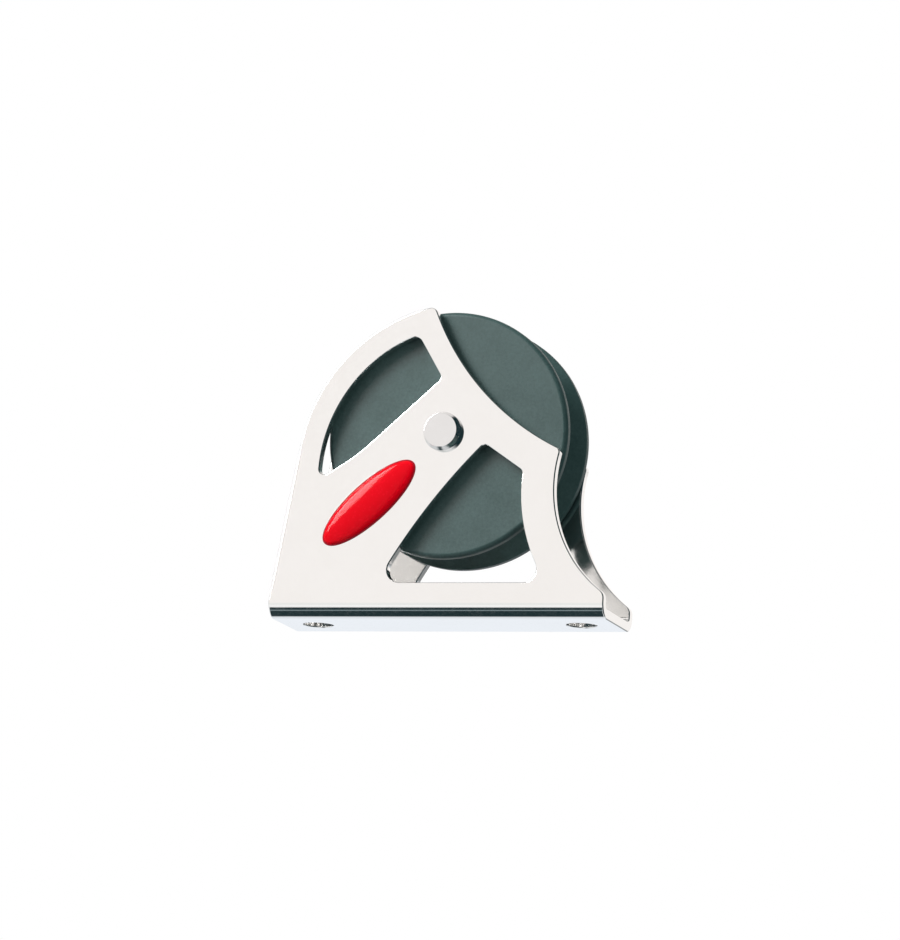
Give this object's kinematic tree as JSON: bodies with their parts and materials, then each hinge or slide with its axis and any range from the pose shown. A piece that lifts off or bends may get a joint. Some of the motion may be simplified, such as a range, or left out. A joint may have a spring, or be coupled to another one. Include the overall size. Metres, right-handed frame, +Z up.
{
  "type": "stand-up block",
  "caption": "Upright lead block: one grooved sheave on a roller bearing between the windowed cheeks of a folded stainless base bracket.",
  "frame": {"origin": "middle of the underside of the base, between its two fastening holes", "axes": "+X along the base towards the flared toe, +Y from the badge cheek to the other cheek, +Z up"},
  "size_m": [0.0796, 0.0275, 0.0715],
  "materials": {
    "polished_stainless": "electropolished, softly mirrored",
    "turned_stainless": "turned face, polished",
    "sheave_resin": "moulded satin, dark grey",
    "race_steel": "ground",
    "roller_steel": "lapped",
    "cage_resin": "moulded",
    "washer_resin": "skived sheet",
    "label_film": "printed film",
    "badge_resin": "clear cast dome"
  },
  "bodies": {
    "frame": {"side_frame": "polished_stainless", "axle_pin": "turned_stainless", "bearing_sleeve": "race_steel", "thrust_washer_near": "washer_resin", "thrust_washer_far": "washer_resin", "badge_label": "label_film", "badge_dome": "badge_resin"},
    "wheel": {"sheave": "sheave_resin", "bearing_bush": "race_steel"},
    "cage": {"roller_cage": "cage_resin"},
    "roller_01": {"roller_01": "roller_steel"},
    "roller_02": {"roller_02": "roller_steel"},
    "roller_03": {"roller_03": "roller_steel"},
    "roller_04": {"roller_04": "roller_steel"},
    "roller_05": {"roller_05": "roller_steel"},
    "roller_06": {"roller_06": "roller_steel"},
    "roller_07": {"roller_07": "roller_steel"},
    "roller_08": {"roller_08": "roller_steel"},
    "roller_09": {"roller_09": "roller_steel"},
    "roller_10": {"roller_10": "roller_steel"}
  },
  "joints": [
    {"name": "sheave_spin", "type": "hinge", "parent": "frame", "child": "wheel", "pos_m": [0, 0, 0.0425], "axis": [0, 1, 0], "continuous": true},
    {"name": "cage_spin", "type": "hinge", "parent": "frame", "child": "cage", "pos_m": [0, 0, 0.0425], "axis": [0, 1, 0], "continuous": true},
    {"name": "roller_01_spin", "type": "hinge", "parent": "cage", "child": "roller_01", "pos_m": [0.00545, 0, 0.0425], "axis": [0, 1, 0], "continuous": true},
    {"name": "roller_02_spin", "type": "hinge", "parent": "cage", "child": "roller_02", "pos_m": [0.00441, 0, 0.0457], "axis": [0, 1, 0], "continuous": true},
    {"name": "roller_03_spin", "type": "hinge", "parent": "cage", "child": "roller_03", "pos_m": [0.00168, 0, 0.04768], "axis": [0, 1, 0], "continuous": true},
    {"name": "roller_04_spin", "type": "hinge", "parent": "cage", "child": "roller_04", "pos_m": [-0.00168, 0, 0.04768], "axis": [0, 1, 0], "continuous": true},
    {"name": "roller_05_spin", "type": "hinge", "parent": "cage", "child": "roller_05", "pos_m": [-0.00441, 0, 0.0457], "axis": [0, 1, 0], "continuous": true},
    {"name": "roller_06_spin", "type": "hinge", "parent": "cage", "child": "roller_06", "pos_m": [-0.00545, 0, 0.0425], "axis": [0, 1, 0], "continuous": true},
    {"name": "roller_07_spin", "type": "hinge", "parent": "cage", "child": "roller_07", "pos_m": [-0.00441, 0, 0.0393], "axis": [0, 1, 0], "continuous": true},
    {"name": "roller_08_spin", "type": "hinge", "parent": "cage", "child": "roller_08", "pos_m": [-0.00168, 0, 0.03732], "axis": [0, 1, 0], "continuous": true},
    {"name": "roller_09_spin", "type": "hinge", "parent": "cage", "child": "roller_09", "pos_m": [0.00168, 0, 0.03732], "axis": [0, 1, 0], "continuous": true},
    {"name": "roller_10_spin", "type": "hinge", "parent": "cage", "child": "roller_10", "pos_m": [0.00441, 0, 0.0393], "axis": [0, 1, 0], "continuous": true}
  ],
  "couplings": [
    {"joint": "cage_spin", "follows": "sheave_spin", "ratio": 0.61193},
    {"joint": "roller_01_spin", "follows": "sheave_spin", "ratio": 2.1672},
    {"joint": "roller_02_spin", "follows": "sheave_spin", "ratio": 2.1672},
    {"joint": "roller_03_spin", "follows": "sheave_spin", "ratio": 2.1672},
    {"joint": "roller_04_spin", "follows": "sheave_spin", "ratio": 2.1672},
    {"joint": "roller_05_spin", "follows": "sheave_spin", "ratio": 2.1672},
    {"joint": "roller_06_spin", "follows": "sheave_spin", "ratio": 2.1672},
    {"joint": "roller_07_spin", "follows": "sheave_spin", "ratio": 2.1672},
    {"joint": "roller_08_spin", "follows": "sheave_spin", "ratio": 2.1672},
    {"joint": "roller_09_spin", "follows": "sheave_spin", "ratio": 2.1672},
    {"joint": "roller_10_spin", "follows": "sheave_spin", "ratio": 2.1672}
  ]
}
